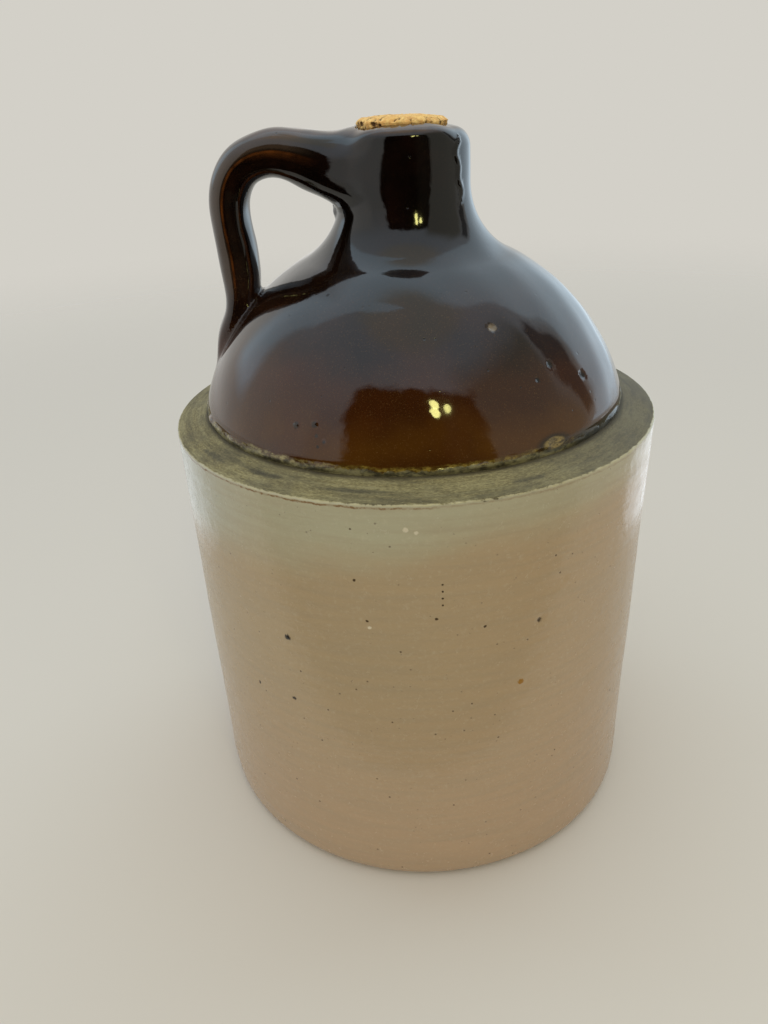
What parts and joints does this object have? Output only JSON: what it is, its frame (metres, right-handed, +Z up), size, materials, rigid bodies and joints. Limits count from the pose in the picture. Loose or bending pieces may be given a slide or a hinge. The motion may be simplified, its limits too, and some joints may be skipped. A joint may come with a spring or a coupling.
{
  "type": "stoneware jug",
  "caption": "Stoneware shoulder jug with a straight body, sloping bare ledge, glazed dome, short neck, strap handle and a tapered cork in its mouth.",
  "frame": {"origin": "centre of the flat base, at its bottom", "axes": "+Z up through the neck, -X toward the handle, +Y away from the shown front"},
  "size_m": [0.178, 0.178, 0.2608],
  "materials": {
    "brown_glaze": "gloss dark brown slip glaze on the dome, neck and handle",
    "cream_glaze": "satin cream feldspar glaze with pinholes on the straight body",
    "bare_clay": "unglazed, worn and soiled ledge between the two glazes",
    "cork": "dry pale cork with dark pores and a chipped edge"
  },
  "bodies": {
    "root": {"jug": "brown_glaze", "cork": "cork"}
  },
  "joints": []
}
